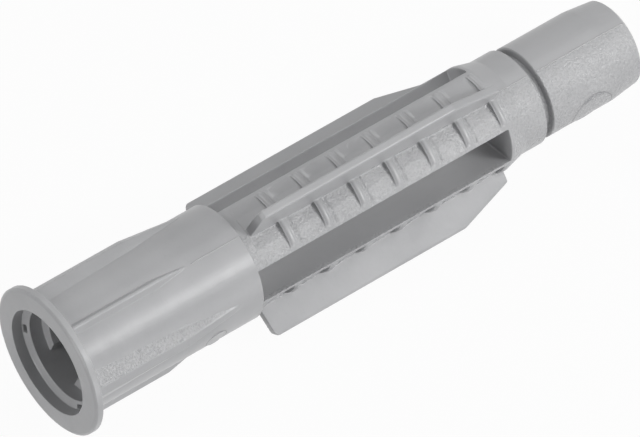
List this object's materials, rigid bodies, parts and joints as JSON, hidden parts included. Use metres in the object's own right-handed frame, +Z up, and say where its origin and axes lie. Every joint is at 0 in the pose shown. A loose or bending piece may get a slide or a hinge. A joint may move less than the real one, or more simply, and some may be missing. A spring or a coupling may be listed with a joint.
{
  "type": "wall plug",
  "caption": "Universal wall plug: a thin collar, a ribbed sleeve, toothed and finned expanding legs with slots between them, and a grooved nose, moulded in one piece.",
  "frame": {"origin": "centre of the mouth, in the plane of the collar's front face", "axes": "+X along the plug from the collar to the nose; +Z up with one fin pointing up and a slot facing down, the way the plug comes to rest"},
  "size_m": [0.0589, 0.0136, 0.0144],
  "materials": {
    "nylon": "satin"
  },
  "bodies": {
    "root": {"wall_plug": "nylon"}
  },
  "joints": []
}
